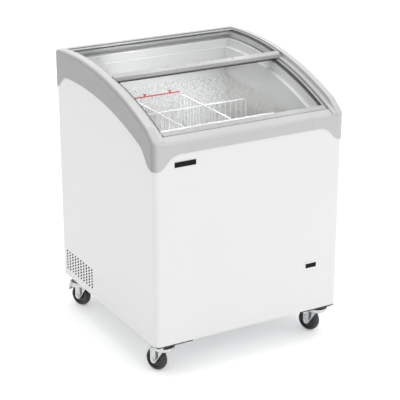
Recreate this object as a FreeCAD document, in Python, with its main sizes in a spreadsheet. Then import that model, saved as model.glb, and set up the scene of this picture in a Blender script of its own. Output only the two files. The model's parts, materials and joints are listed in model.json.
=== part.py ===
import FreeCAD, Part
import math
import os
import re

import Sketcher

Vector = FreeCAD.Vector

# Chest freezer with two sliding curved glass lids, in millimetres.
# Origin: on the floor under the middle of the cabinet. +X is to the right seen from the front,
# +Y is to the back, +Z is up. The front of the freezer faces -Y.

DIMENSIONS = {
    # cabinet
    "cab_w": 670.0,
    "cab_d": 680.0,
    "cab_base": 108.0,
    "sheet_t": 0.8,
    "hem_x": 325.0,
    "tray_t": 1.6,
    "corner_rad": 18.0,
    "rear_corner_rad": 10.0,
    "seam_y": -322.0,
    # the arc that the lids slide on, and the arc where the cabinet panels end under the collar
    "arc_y": 208.0,
    "arc_z": -302.5,
    "rim_rad": 1211.5,
    "front_top_rad": 1194.5,
    "skirt_y": 186.0,
    "skirt_z": -346.6,
    "skirt_rad": 1171.0,
    "core_rad": 1206.0,
    # collar and throat
    "collar_over": 3.0,
    "collar_round": 12.0,
    "nose_y": -290.0,
    "nose_drop": 0.8,
    "nose_bend": 60.0,
    "joint_x": 217.0,
    "joint_gap": 0.15,
    "well_front": -313.5,
    "well_back": 308.5,
    "shelf_rad": 1180.5,
    "shelf_x": 297.0,
    "track_rad": 1199.0,
    "track_x": 311.0,
    "front_ease": 16.0,
    "track_ease": 24.0,
    "throat_x": 285.0,
    "throat_in": 267.0,
    "throat_front": -290.0,
    "throat_back": 278.0,
    "throat_skin": 3.0,
    "ledge_rad": 1152.5,
    # tub
    "tub_x": 275.0,
    "tub_front": -280.0,
    "tub_back": 268.0,
    "tub_corner": 16.0,
    "tub_floor": 173.0,
    "step_y": 55.0,
    "step_z": 385.0,
    "liner_y": 346.6,
    "liner_z": -2228.0,
    "liner_rad": 2985.0,
    "coil_tube": 8.0,
    "coil_low": 410.0,
    "coil_pitch": 38.0,
    "label_z": 715.0,
    "label_len": 174.0,
    # compressor compartment
    "comp_front": 110.0,
    "comp_top": 330.0,
    "grille_y": 318.0,
    "grille_t": 1.2,
    # lids
    "front_lid_low": 1181.0,
    "front_lid_high": 1191.6,
    "front_glass_low": 1186.0,
    "front_glass_high": 1190.0,
    "front_lid_y0": -312.0,
    "front_lid_y1": 15.0,
    "front_lid_x": 294.5,
    "front_lid_in": 287.5,
    "glass_bite": 4.0,
    "rear_lid_low": 1193.0,
    "rear_lid_high": 1208.0,
    "rear_glass_low": 1201.5,
    "rear_glass_high": 1205.5,
    "rear_lid_y0": -22.0,
    "rear_lid_y1": 306.0,
    "rear_lid_x": 309.0,
    "rear_lid_in": 303.0,
    # dividers
    "div_x": 265.0,
    "div_top": 701.0,
    "div_low": 396.0,
    "div_step": 6.0,
    "frame_wire": 5.0,
    "fill_wire": 3.0,
    "wire_pitch": 21.0,
    "div_rear_y": 122.0,
    "div_front_y": -65.0,
    "div_side_x": 87.0,
    "div_side_y0": -76.0,
    "div_side_y1": 262.0,
    # castors
    "castor_x": 287.0,
    "castor_front_y": -300.0,
    "castor_rear_y": 255.0,
    "castor_turn": 21.7,
    "plate_t": 5.0,
    "wheel_rad": 37.5,
    "wheel_w": 24.0,
    "hub_w": 30.0,
    "trail": 30.0,
    "axle_rad": 4.0,
    "king_rad": 6.0,
    "running": 0.06,
    "fork_gap": 31.0,
    "fork_sheet": 3.0,
    "fork_top": 92.0,
    "race_low": 92.4,
    "race_rad": 29.5,
    "cup_rad": 34.0,
    # front fittings
    "badge_x": -231.0,
    "badge_z": 690.0,
    "display_x": 227.5,
    "display_z": 267.0,
}

doc = FreeCAD.newDocument("chest_freezer")
sizes = doc.addObject("Spreadsheet::Sheet", "sizes")
for row, (alias, number) in enumerate(DIMENSIONS.items(), start=1):
    sizes.set(f"A{row}", alias)
    sizes.set(f"B{row}", str(number))
    sizes.setAlias(f"B{row}", alias)
doc.recompute()

WORD = re.compile(r"[a-z_]+[a-z_0-9]*")
SUBPARTS = {}
SIDES = (("left", -1), ("right", 1))
HALF_SPAN = 400.0  # half the length of the construction cylinders about the lids' arc
LOW, HIGH = "0", "1000"


def size(alias):
    """The number in one cell of the sheet."""
    return float(sizes.get(alias))


def cells(formula):
    """A formula in plain aliases, written for the sheet: cab_w / 2 becomes sizes.cab_w / 2."""
    return WORD.sub(lambda word: "sizes." + word.group(0), str(formula))


def bind(obj, prop, formula):
    obj.setExpression(prop, cells(formula))


def put(obj, x="0", y="0", z="0"):
    for letter, formula in (("x", x), ("y", y), ("z", z)):
        bind(obj, "Placement.Base." + letter, formula)
    return obj


def new(kind, name):
    return doc.addObject(kind, name)


def subpart(node, obj):
    """Names a finished piece, so that it is written to its own file."""
    obj.Label = node
    SUBPARTS[node] = obj
    return obj


def box(name, x, y, z):
    """A box from its low and high formula along each axis."""
    obj = new("Part::Box", name)
    for prop, (low, high) in (("Length", x), ("Width", y), ("Height", z)):
        bind(obj, prop, f"({high}) - ({low})")
    return put(obj, x[0], y[0], z[0])


def cylinder(name, axis, start, radius, length):
    """A cylinder along X, Y or Z from a start point."""
    obj = new("Part::Cylinder", name)
    bind(obj, "Radius", radius)
    bind(obj, "Height", length)
    turns = {"x": (Vector(0, 1, 0), 90), "y": (Vector(1, 0, 0), -90), "z": (Vector(0, 0, 1), 0)}
    obj.Placement = FreeCAD.Placement(Vector(), FreeCAD.Rotation(*turns[axis]))
    return put(obj, *start)


def cut(name, base, *tools):
    obj = new("Part::Cut", name)
    obj.Base = base
    obj.Tool = tools[0] if len(tools) == 1 else union(name + "_tools", *tools)
    return obj


def union(name, *shapes):
    obj = new("Part::MultiFuse", name)
    obj.Shapes = list(shapes)
    return obj


def common(name, *shapes):
    obj = new("Part::MultiCommon", name)
    obj.Shapes = list(shapes)
    return obj


def group(name, *shapes):
    """Separate solids that share one node."""
    obj = new("Part::Compound", name)
    obj.Links = list(shapes)
    return obj


def mirrored(name, source):
    """The other hand of a piece, across the middle plane x = 0."""
    obj = new("Part::Mirroring", name)
    obj.Source = source
    obj.Normal = Vector(1, 0, 0)
    obj.Base = Vector()
    return obj


def fixed(name, shape):
    """A piece whose shape is made from edges and sweeps, which no primitive gives."""
    obj = new("Part::Feature", name)
    obj.Shape = shape
    return obj


def extruded(name, face, direction, length):
    obj = new("Part::Extrusion", name)
    obj.Base = face
    obj.DirMode = "Custom"
    obj.Dir = direction
    obj.LengthFwd = length
    obj.Solid = True
    return obj


def rounded(name, base, radius_of):
    """Fillets every edge that radius_of(edge) gives a radius for."""
    doc.recompute()
    obj = new("Part::Fillet", name)
    obj.Base = base
    picked = [(number, radius_of(edge)) for number, edge in enumerate(base.Shape.Edges, start=1)]
    obj.Edges = [(number, radius, radius) for number, radius in picked if radius]
    return obj


def upright(edge):
    """True for an edge that runs straight up."""
    ends = edge.Vertexes
    return len(ends) == 2 and (ends[0].Point - ends[1].Point).normalize().z ** 2 > 0.999


def plan_corners(grown):
    """Radius of each upright corner: large at the front and small at the rear."""

    def radius_of(edge):
        if not upright(edge):
            return 0.0
        at_front = edge.Vertexes[0].Point.y < 0
        return size("corner_rad" if at_front else "rear_corner_rad") + grown

    return radius_of


ARC_CYLINDERS = {}


def arc_cylinder(radius, y="arc_y", z="arc_z"):
    """The full cylinder along X whose top is one of the arcs."""
    key = (radius, y, z)
    if key not in ARC_CYLINDERS:
        name = f"arc_{len(ARC_CYLINDERS)}"
        start = (str(-HALF_SPAN), y, z)
        ARC_CYLINDERS[key] = cylinder(name, "x", start, radius, str(2 * HALF_SPAN))
    return ARC_CYLINDERS[key]


def band(name, low, high, x, y):
    """A strip of the lids' arc between two radii, two x and two y."""
    slab = box(name + "_slab", x, y, ("300", HIGH))
    inside = common(name + "_under", slab, arc_cylinder(high))
    return cut(name, inside, arc_cylinder(low))


def above(name, low, x, y):
    """Everything over one radius of the lids' arc, between two x and two y."""
    slab = box(name + "_slab", x, y, ("300", HIGH))
    return cut(name, slab, arc_cylinder(low))


def sketch_outline(body, plane, points, name):
    """A closed polygon in a body's own origin plane, each corner held by two bound distances."""
    sketch = body.newObject("Sketcher::SketchObject", name)
    role = {"XY": "XY_Plane", "XZ": "XZ_Plane", "YZ": "YZ_Plane"}[plane]
    support = next(o for o in body.Origin.OriginFeatures if o.Role == role)
    sketch.AttachmentSupport = [(support, "")]
    sketch.MapMode = "FlatFace"
    # a first rough polygon; the bound distances then pull each corner into place
    count = len(points)
    rough = []
    for corner in range(count):
        turn = 2 * math.pi * corner / count
        rough.append(Vector(100 + 10 * math.cos(turn), 100 + 10 * math.sin(turn), 0))
    for corner in range(count):
        sketch.addGeometry(Part.LineSegment(rough[corner], rough[(corner + 1) % count]))
    for corner in range(count):
        joint = Sketcher.Constraint("Coincident", corner, 2, (corner + 1) % count, 1)
        sketch.addConstraint(joint)
    for corner, (across, along) in enumerate(points):
        for kind, formula, start in (
            ("DistanceX", across, rough[corner].x),
            ("DistanceY", along, rough[corner].y),
        ):
            held = sketch.addConstraint(Sketcher.Constraint(kind, -1, 1, corner, 1, start))
            bind(sketch, f"Constraints[{held}]", formula)
    return sketch


def path_wire(points, bend, closed=False):
    """Straight runs joined by tangent arcs of one radius."""
    corners = [Vector(*p) for p in points]
    count = len(corners)
    turning = range(count) if closed else range(1, count - 1)
    entries, exits, arcs = {}, {}, {}
    for n in turning:
        before = (corners[n - 1] - corners[n]).normalize()
        after = (corners[(n + 1) % count] - corners[n]).normalize()
        half = before.getAngle(after) / 2
        reach = bend / math.tan(half)
        middle = (before + after).normalize()
        centre = corners[n] + middle * (bend / math.sin(half))
        entries[n] = corners[n] + before * reach
        exits[n] = corners[n] + after * reach
        arcs[n] = Part.Arc(entries[n], centre - middle * bend, exits[n])
    edges = []
    for n in range(count if closed else count - 1):
        following = (n + 1) % count
        start = exits.get(n, corners[n])
        end = entries.get(following, corners[following])
        if (end - start).Length > 1e-6:
            edges.append(Part.LineSegment(start, end).toShape())
        if following in arcs:
            edges.append(arcs[following].toShape())
    return Part.Wire(edges)


def tube_along(wire, radius):
    """A round solid along a wire of runs and tangent arcs."""
    first = wire.OrderedEdges[0]
    start = first.valueAt(first.FirstParameter)
    heading = first.tangentAt(first.FirstParameter)
    ring = Part.Wire([Part.Circle(start, heading, radius).toShape()])
    return wire.makePipeShell([ring], True, True)


# ---------------------------------------------------------------- cabinet


def cabinet_block(name, inset, low, high):
    """The cabinet's plan with rounded upright corners, drawn in by inset on every side."""
    half_w = f"cab_w / 2 - {inset}"
    half_d = f"cab_d / 2 - {inset}"
    plain = box(name + "_box", (f"-({half_w})", half_w), (f"-({half_d})", half_d), (low, high))
    grown = 0.0 if inset == "0" else -size(inset)
    return rounded(name, plain, plan_corners(grown))


OUTER_BLOCK = cabinet_block("outer_block", "0", "cab_base", HIGH)
INNER_BLOCK = cabinet_block("inner_block", "sheet_t", LOW, HIGH)
CORE_TOP = arc_cylinder("core_rad", "skirt_y", "skirt_z")
SHELL = cut("shell", OUTER_BLOCK, INNER_BLOCK)


def vent_slots(name):
    """Seven rows of ten short slots, each slanted up towards the front."""
    columns, rows = 10, 7
    first_y, last_y = 113.0, 306.0
    first_z, last_z = 137.0, 200.5
    slot_len, slot_high, slant = 8.0, 5.8, 38.0
    plan = []
    for column in range(columns):
        y = first_y + (last_y - first_y) * column / (columns - 1)
        for line in range(rows):
            plan.append((y, first_z + (last_z - first_z) * line / (rows - 1)))
    pegs = []
    for y, z in plan:
        peg = Part.makeBox(2 * HALF_SPAN, slot_len, slot_high)
        peg.translate(Vector(-HALF_SPAN, -slot_len / 2, -slot_high / 2))
        for end in (-slot_len / 2, slot_len / 2):
            tip = Part.makeCylinder(slot_high / 2, 2 * HALF_SPAN, Vector(), Vector(1, 0, 0))
            tip.translate(Vector(-HALF_SPAN, end, 0))
            peg = peg.fuse(tip)
        peg.rotate(Vector(), Vector(1, 0, 0), -slant)
        peg.translate(Vector(0, y, z))
        pegs.append(peg.removeSplitter())
    return fixed(name, Part.makeCompound(pegs))


def side_panels():
    """Painted sheets with vent slots punched through, hemmed round the rear corners."""
    slots = vent_slots("vent_slots")
    for side, sign in SIDES:
        x = ("-cab_w", "-hem_x") if sign < 0 else ("hem_x", "cab_w")
        reach = box(f"side_reach_{side}", x, ("seam_y", "cab_d"), ("cab_base", HIGH))
        sheet = common(f"side_sheet_{side}", SHELL, reach, CORE_TOP)
        subpart(f"side_panel_{side}", cut(f"side_cut_{side}", sheet, slots))


def front_panel():
    """The front sheet, folded round both front corners as far as the seams."""
    reach = box("front_reach", ("-cab_w", "cab_w"), ("-cab_d", "seam_y"), ("cab_base", HIGH))
    subpart("front_panel", common("front_sheet", SHELL, reach, CORE_TOP))


def rear_panel():
    """The rear sheet, which stops over the compressor compartment."""
    reach = box("rear_reach", ("-hem_x", "hem_x"), ("0", "cab_d"), ("comp_top", HIGH))
    subpart("rear_panel", common("rear_sheet", SHELL, reach, CORE_TOP))


PLATE_X = ("205", "325")
PLATE_HALF_Y = 38.0
BOLT_X = (217.0, 313.0)
BOLT_HALF_Y = 30.0
BOLT_RAD = 4.0
BOLT_FIT = 0.05


def castor_corners():
    """Name, sign in x and pivot alias in y of the four castors."""
    return (
        ("front_left", -1, "castor_front_y"),
        ("front_right", 1, "castor_front_y"),
        ("rear_left", -1, "castor_rear_y"),
        ("rear_right", 1, "castor_rear_y"),
    )


def bolt_places():
    places = []
    for corner, sign, pivot in castor_corners():
        for x in BOLT_X:
            for side in (-1, 1):
                places.append((f"{corner}_{int(x)}_{'ab'[side > 0]}", sign * x, pivot, side))
    return places


def bolt_holes(name, low, high):
    holes = [
        cylinder(
            f"{name}_{label}",
            "z",
            (str(x), f"{pivot} + {side * BOLT_HALF_Y}", low),
            str(BOLT_RAD + BOLT_FIT),
            f"({high}) - ({low})",
        )
        for label, x, pivot, side in bolt_places()
    ]
    return union(name, *holes)


def base_tray():
    """The galvanised floor of the cabinet, which the castors bolt to."""
    reach = box(
        "tray_reach", ("-cab_w", "cab_w"), ("-cab_d", "cab_d"), ("cab_base", "cab_base + tray_t")
    )
    sheet = common("tray_sheet", reach, INNER_BLOCK)
    holes = bolt_holes("tray_holes", "cab_base - 1", "cab_base + tray_t + 1")
    subpart("base_tray", cut("tray_cut", sheet, holes))


# ---------------------------------------------------------------- tub


def tub_block(name, skin):
    """The tub's inside, grown by skin: a deep front part and a shallow part over the step."""
    x = (f"-(tub_x + {skin})", f"tub_x + {skin}")
    deep = box(
        name + "_deep",
        x,
        (f"tub_front - {skin}", f"step_y + {skin}"),
        (f"tub_floor - {skin}", HIGH),
    )
    shallow = box(
        name + "_shallow",
        x,
        (f"tub_front - {skin}", f"tub_back + {skin}"),
        (f"step_z - {skin}", HIGH),
    )
    both = union(name + "_both", deep, shallow)
    both.Refine = True
    radius = size("tub_corner") + (0.0 if skin == "0" else size(skin))
    return rounded(name, both, lambda edge: upright(edge) * radius)


LINER_TOP = arc_cylinder("liner_rad", "liner_y", "liner_z")


def tub_liner():
    outer = tub_block("liner_outer", "sheet_t")
    inner = tub_block("liner_inner", "0")
    walls = cut("liner_walls", outer, inner)
    subpart("tub_liner", common("liner_trimmed", walls, LINER_TOP))
    return outer


def throat_frame():
    """The inner plastic frame: a thick wall up to a ledge, and a thin wall above it."""
    x = ("-throat_x", "throat_x")
    y = ("throat_front", "throat_back")
    outer = common(
        "throat_outer", box("throat_block", x, y, ("600", HIGH)), arc_cylinder("shelf_rad")
    )
    over_liner = cut("throat_over_liner", outer, LINER_TOP)
    mouth_x = ("-throat_in", "throat_in")
    inner = box("throat_mouth", mouth_x, ("tub_front", "tub_back"), ("500", HIGH))
    upper = above(
        "throat_upper",
        "ledge_rad",
        ("-throat_x + throat_skin", "throat_x - throat_skin"),
        ("throat_front + throat_skin", "throat_back - throat_skin"),
    )
    subpart("throat_frame", cut("throat_ring", over_liner, inner, upper))
    return outer


def rear_insert():
    """The flat cover let into the back of the throat, between the ledge and the lid shelf."""
    half = "joint_x + 1"
    y = ("throat_back - throat_skin - 1.5", "throat_back - throat_skin")
    slab = box("insert_slab", (f"-({half})", half), y, ("700", HIGH))
    under = common("insert_under", slab, arc_cylinder("shelf_rad - 3"))
    subpart("rear_insert_panel", cut("insert_cut", under, arc_cylinder("ledge_rad + 3")))


def insulation(liner_outer, throat_outer):
    """Polyurethane foam that fills everything between the sheets, the tub and the collar."""
    low = box("foam_low", ("-cab_w", "cab_w"), ("-cab_d", "cab_d"), ("cab_base + tray_t", HIGH))
    whole = common("foam_whole", INNER_BLOCK, low, CORE_TOP)
    room = box(
        "comp_room", ("-cab_w", "cab_w"), ("comp_front", "cab_d"), (LOW, "comp_top")
    )
    throat_top = box(
        "throat_room", ("-throat_x", "throat_x"), ("throat_front", "throat_back"), ("740", HIGH)
    )
    subpart(
        "insulation_foam", cut("foam", whole, liner_outer, throat_outer, throat_top, room)
    )


def evaporator():
    """One tube wound round the outside of the liner, joined level to level at the back."""
    levels = 6
    gap = size("coil_tube") / 2 + size("sheet_t") + 0.2
    x = size("tub_x") + gap
    front, back = size("tub_front") - gap, size("tub_back") + gap
    riser_x, bend = 60.0, size("tub_corner") + gap
    points = []
    for level in range(levels):
        z = size("coil_low") + level * size("coil_pitch")
        side = 1 if level % 2 == 0 else -1
        loop = [
            (side * riser_x, back, z),
            (side * x, back, z),
            (side * x, front, z),
            (-side * x, front, z),
            (-side * x, back, z),
            (-side * riser_x, back, z),
        ]
        points += loop
    solid = tube_along(path_wire(points, bend), size("coil_tube") / 2)
    subpart("evaporator_coil", fixed("coil", solid))


def load_line_label():
    """A thin printed strip on the back wall with two triangles that point down to it."""
    thick, high, tri_half, tri_high, tri_x = 0.4, 4.6, 7.5, 11.0, 48.0
    y = ("tub_back - %s" % thick, "tub_back")
    strip = box(
        "label_strip",
        ("-label_len / 2", "label_len / 2"),
        y,
        (f"label_z - {high / 2}", f"label_z + {high / 2}"),
    )
    pieces = [strip]
    for side, sign in SIDES:
        face_y = size("tub_back")
        top = size("label_z") + tri_high - 1
        corners = [
            Vector(sign * tri_x - tri_half, face_y, top),
            Vector(sign * tri_x + tri_half, face_y, top),
            Vector(sign * tri_x, face_y, top - tri_high),
        ]
        face = fixed(f"label_mark_{side}", Part.Face(Part.makePolygon(corners + corners[:1])))
        pieces.append(extruded(f"label_arrow_{side}", face, Vector(0, -1, 0), thick))
    subpart("load_line_label", union("label", *pieces))


def drain_plug():
    disc = cylinder("drain_disc", "z", ("230", "-240", "tub_floor"), "17", "4")
    grip = box("drain_grip", ("218", "242"), ("-242", "-238"), ("tub_floor + 3", "tub_floor + 12"))
    subpart("drain_plug", union("drain", disc, grip))


# ---------------------------------------------------------------- collar


def curve_face(points, flat, far_z):
    """A face under a lower-edge line: straight across flat, and a curve through each run."""
    edges = []
    for run in points:
        vectors = [flat(*p) for p in run]
        if len(vectors) == 2:
            edges.append(Part.LineSegment(*vectors).toShape())
        elif len(vectors) == 3:
            edges.append(Part.Arc(*vectors).toShape())
        else:
            curve = Part.BSplineCurve()
            curve.interpolate(vectors)
            edges.append(curve.toShape())
    first, last = points[0][0], points[-1][-1]
    for start, end in (
        (last, (last[0], far_z)),
        ((last[0], far_z), (first[0], far_z)),
        ((first[0], far_z), first),
    ):
        edges.append(Part.LineSegment(flat(*start), flat(*end)).toShape())
    return Part.Face(Part.Wire(edges))


def skirt_edge(y):
    """Height of the side mouldings' lower edge on its main arc."""
    reach = size("skirt_rad") ** 2 - (y - size("skirt_y")) ** 2
    return size("skirt_z") + math.sqrt(reach)


def lower_edge_cutters():
    """Blocks that shape the collar's lower edge: an arch at the sides, drops at the corners."""
    far_z = 400.0
    front_start, back_start = -255.0, 262.0
    middle = 0.0
    side_run = [
        [(-360, 677), (-336, 677.5), (-312, 682), (-285, 709), (front_start, skirt_edge(front_start))],
        [
            (front_start, skirt_edge(front_start)),
            (middle, skirt_edge(middle)),
            (back_start, skirt_edge(back_start)),
        ],
        [(back_start, skirt_edge(back_start)), (300, 801), (325, 781), (360, 772)],
    ]
    side = fixed("side_edge", curve_face(side_run, lambda y, z: Vector(-HALF_SPAN, y, z), far_z))
    half, level = 238.0, 723.0
    tip = [(half, level), (262, 720), (285, 708), (310, 683), (332, 677), (360, 676)]
    front_run = [
        [(-x, z) for x, z in reversed(tip)],
        [(-half, level), (half, level)],
        tip,
    ]
    front_y = -HALF_SPAN
    front = fixed("front_edge", curve_face(front_run, lambda x, z: Vector(x, front_y, z), far_z))
    rear_level = 812.0
    rear_tip = [(half, rear_level), (285, 803), (312, 783), (336, 774), (360, 773)]
    rear_run = [
        [(-x, z) for x, z in reversed(rear_tip)],
        [(-half, rear_level), (half, rear_level)],
        rear_tip,
    ]
    rear = fixed("rear_edge", curve_face(rear_run, lambda x, z: Vector(x, HALF_SPAN, z), far_z))
    return (
        extruded("side_cutter", side, Vector(1, 0, 0), 2 * HALF_SPAN),
        extruded("front_cutter", front, Vector(0, 1, 0), HALF_SPAN - 330),
        extruded("rear_cutter", rear, Vector(0, -1, 0), HALF_SPAN - 330),
    )


def at_nose(edge):
    """True for the crease across the top, where the nose meets the arc."""
    return all(abs(vertex.Point.y - size("nose_y")) < 0.01 for vertex in edge.Vertexes)


def top_outline(edge):
    """Radius of the collar's top outer edges."""
    ends = [vertex.Point for vertex in edge.Vertexes]
    half_w = size("cab_w") / 2 + size("collar_over")
    middle = edge.valueAt((edge.FirstParameter + edge.LastParameter) / 2)
    inside = abs(middle.x) < half_w - 6 and abs(middle.y) < 330
    if upright(edge) or inside or min(point.z for point in ends) < 700:
        return 0.0
    return size("collar_round")


def nose():
    """Everything over the plane that takes the rim down to the front edge."""
    start_y, end_y = size("nose_y"), -HALF_SPAN
    start_z = size("arc_z") + math.sqrt(size("rim_rad") ** 2 - (start_y - size("arc_y")) ** 2)
    end_z = start_z - (start_y - end_y) * size("nose_drop")
    corners = [(start_y, start_z), (end_y, end_z), (end_y, 1000), (start_y, 1000)]
    outline = [Vector(-HALF_SPAN, y, z) for y, z in corners]
    face = fixed("nose_face", Part.Face(Part.makePolygon(outline + outline[:1])))
    return extruded("nose", face, Vector(1, 0, 0), 2 * HALF_SPAN)


def front_drop():
    """Blocks that lower the collar's front between the corners and round its outer edge."""
    tools = []
    for name, x, top, ease in (
        ("front", "shelf_x", "front_top_rad", "front_ease"),
        ("track", "track_x", "track_rad", "track_ease"),
    ):
        span = (f"-{x}", x)
        round_rad, face_y = size(ease), -size("cab_d") / 2 - size("collar_over")
        reach = size(top) - round_rad
        middle_y = face_y + round_rad
        middle_z = size("arc_z") + math.sqrt(reach**2 - (middle_y - size("arc_y")) ** 2)
        # where the rounding runs into the arc
        touch_y = middle_y + round_rad * (middle_y - size("arc_y")) / reach
        edge = box(f"{name}_edge", span, ("-cab_d", str(touch_y)), (str(middle_z), HIGH))
        place = (str(-HALF_SPAN), str(middle_y), str(middle_z))
        round_bar = cylinder(f"{name}_round", "x", place, ease, str(2 * HALF_SPAN))
        tools.append(above(f"{name}_lowered", top, span, ("-cab_d", "well_front + 1")))
        tools.append(cut(f"{name}_eased", edge, round_bar))
    return tools


def collar():
    half_x = "cab_w / 2 + collar_over"
    half_y = "cab_d / 2 + collar_over"
    plain = box("collar_box", (f"-({half_x})", half_x), (f"-({half_y})", half_y), ("600", HIGH))
    cornered = rounded("collar_cornered", plain, plan_corners(size("collar_over")))
    under = common("collar_under", cornered, arc_cylinder("rim_rad"))
    topped = cut("collar_topped", under, nose())
    bent = rounded("collar_bent", topped, lambda edge: at_nose(edge) * size("nose_bend"))
    eased = rounded("collar_eased", bent, top_outline)
    core = common("collar_core", OUTER_BLOCK, CORE_TOP)
    well_y = ("well_front", "well_back")
    tools = [
        core,
        *lower_edge_cutters(),
        above("shelf_cut", "shelf_rad", ("-shelf_x", "shelf_x"), well_y),
        above("track_cut", "track_rad", ("-track_x", "track_x"), well_y),
        *front_drop(),
        box("throat_cut", ("-throat_x", "throat_x"), ("throat_front", "throat_back"), ("600", HIGH)),
    ]
    ring = cut("collar_ring", eased, *tools)
    end = "joint_x + joint_gap"
    inner = "joint_x - joint_gap"
    for node, x, y in (
        ("collar_left", ("-cab_w", f"-({end})"), ("-cab_d", "cab_d")),
        ("collar_right", (end, "cab_w"), ("-cab_d", "cab_d")),
        ("collar_front", (f"-({inner})", inner), ("-cab_d", "0")),
        ("collar_rear", (f"-({inner})", inner), ("0", "cab_d")),
    ):
        reach = box(node + "_reach", x, y, ("500", HIGH))
        subpart(node, common(node + "_piece", ring, reach))


# ---------------------------------------------------------------- lids


def front_lid():
    """The lower lid: glass in a frame of four rails, the front one with a grip lip."""
    inset = 8.0
    glass = band(
        "front_glass",
        "front_glass_low",
        "front_glass_high",
        ("-(front_lid_in + glass_bite)", "front_lid_in + glass_bite"),
        (f"front_lid_y0 + {inset}", f"front_lid_y1 - {inset}"),
    )
    subpart("front_lid_glass", glass)
    low, high = "front_lid_low", "front_lid_high"
    across = ("-front_lid_in", "front_lid_in")
    front_y = ("front_lid_y0", "front_lid_y0 + 22")
    bar = band("front_lid_bar", low, high, across, front_y)
    lip_y = ("front_lid_y0", "front_lid_y0 + 9")
    lip = band("front_lid_lip", f"{high} - 1", f"{high} + 4.5", across, lip_y)
    subpart("front_lid_front_rail", cut("flf", union("front_lid_grip", bar, lip), glass))
    tail = band("front_lid_tail", low, high, across, ("front_lid_y1 - 17", "front_lid_y1"))
    subpart("front_lid_rear_rail", cut("flr", tail, glass))
    side = band(
        "front_lid_side",
        low,
        high,
        ("front_lid_in", "front_lid_x"),
        ("front_lid_y0", "front_lid_y1"),
    )
    right = subpart("front_lid_right_rail", cut("fls", side, glass))
    subpart("front_lid_left_rail", mirrored("front_lid_left", right))


def rear_lid():
    """The upper lid: glass in slim side rails that run on the outer tracks, and two cross bars."""
    inset = 8.0
    glass = band(
        "rear_glass",
        "rear_glass_low",
        "rear_glass_high",
        ("-(rear_lid_in + glass_bite)", "rear_lid_in + glass_bite"),
        (f"rear_lid_y0 + {inset}", f"rear_lid_y1 - {inset}"),
    )
    subpart("rear_lid_glass", glass)
    high = "rear_lid_high"
    wide = ("-rear_lid_in", "rear_lid_in")
    deep = ("-shelf_x + 1", "shelf_x - 1")
    for node, name, y in (
        ("rear_lid_front_rail", "rear_lid_bar", ("rear_lid_y0", "rear_lid_y0 + 25")),
        ("rear_lid_rear_rail", "rear_lid_tail", ("rear_lid_y1 - 22", "rear_lid_y1")),
    ):
        over = band(name + "_over", "track_rad + 0.5", high, wide, y)
        under = band(name + "_under", "rear_lid_low", high, deep, y)
        subpart(node, cut(name + "_fit", union(name, over, under), glass))
    y = ("rear_lid_y0", "rear_lid_y1")
    side = band("rear_lid_side", "track_rad + 0.5", high, ("rear_lid_in", "rear_lid_x"), y)
    right = subpart("rear_lid_right_rail", cut("rls", side, glass))
    subpart("rear_lid_left_rail", mirrored("rear_lid_left", right))


# ---------------------------------------------------------------- dividers


def wire_panel(node, axis, fixed_at, low, high, bottom, top, wires):
    """A flat frame of round wire with upright wires welded into it."""
    frame_rad = size("frame_wire") / 2
    bend = 14.0

    def point(along, z):
        return (along, fixed_at, z) if axis == "x" else (fixed_at, along, z)

    outline = [point(low, bottom), point(low, top), point(high, top), point(high, bottom)]
    # the loop starts in the middle of a straight run, so that every corner is an arc
    start = point((low + high) / 2, bottom)
    frame = tube_along(path_wire([start, *outline, start], bend), frame_rad)
    uprights = []
    for along in wires:
        base = Vector(*point(along, bottom))
        uprights.append(
            Part.makeCylinder(size("fill_wire") / 2, top - bottom, base, Vector(0, 0, 1))
        )
    subpart(node, fixed(node + "_wires", frame.fuse(uprights)))


def dividers():
    pitch = size("wire_pitch")
    top, low, step = size("div_top"), size("div_low"), size("div_step")
    reach = size("div_x") - size("frame_wire") / 2
    # upright wires stand either side of the crossings at the other pair of dividers
    side_x = size("div_side_x")
    half_row = [side_x + pitch * (n + 0.5) for n in range(-4, 8)]
    across = [sign * x for x in half_row for sign in (-1, 1)] + [0.0]
    floor = size("tub_floor") + 1 + size("frame_wire") / 2
    wire_panel("divider_rear", "x", size("div_rear_y"), -reach, reach, low, top, across)
    wire_panel("divider_front", "x", size("div_front_y"), -reach, reach, floor, top, across)
    y0, y1 = size("div_side_y0"), size("div_side_y1")
    rear_y = size("div_rear_y")
    along = [rear_y + pitch * (n + 0.5) for n in range(-9, 6)]
    for side, sign in SIDES:
        wire_panel(
            f"divider_{side}", "y", sign * side_x, y0, y1, low + step, top + step, along
        )


# ---------------------------------------------------------------- compressor compartment

FAN_Y, FAN_Z = 215.0, 216.0
COMP_X = 95.0


def rear_grille():
    """The removable plate over the compartment, with two columns of long louvre slots."""
    body = new("PartDesign::Body", "grille_body")
    half = "cab_w / 2 - 3"
    low, high = "cab_base + 4", "comp_top - 1"
    outline = sketch_outline(
        body,
        "XZ",
        [(f"-({half})", low), (half, low), (half, high), (f"-({half})", high)],
        "grille_outline",
    )
    pad = body.newObject("PartDesign::Pad", "grille_pad")
    pad.Profile = outline
    bind(pad, "Length", "grille_t")
    first = sketch_outline(
        body, "XZ", [("-290", "130"), ("-30", "130"), ("-30", "136"), ("-290", "136")], "louvre"
    )
    doc.recompute()
    slot = body.newObject("PartDesign::Pocket", "grille_slot")
    slot.Profile = first
    slot.Type = "ThroughAll"
    slot.Midplane = True
    doc.recompute()
    rows = body.newObject("PartDesign::LinearPattern", "grille_rows")
    rows.Originals = [slot]
    rows.Direction = (first, ["V_Axis"])
    rows.Length = 150
    rows.Occurrences = 11
    body.Tip = rows
    doc.recompute()
    put(body, "0", "grille_y + grille_t", "0")
    holes = [
        cylinder("knob_hole", "y", ("200", "grille_y - 5", "270"), "3.05", "20"),
        cylinder("gland_hole", "y", ("270", "grille_y - 5", "150"), "8", "20"),
    ]
    subpart("rear_grille", cut("grille", body, *holes))


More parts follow.
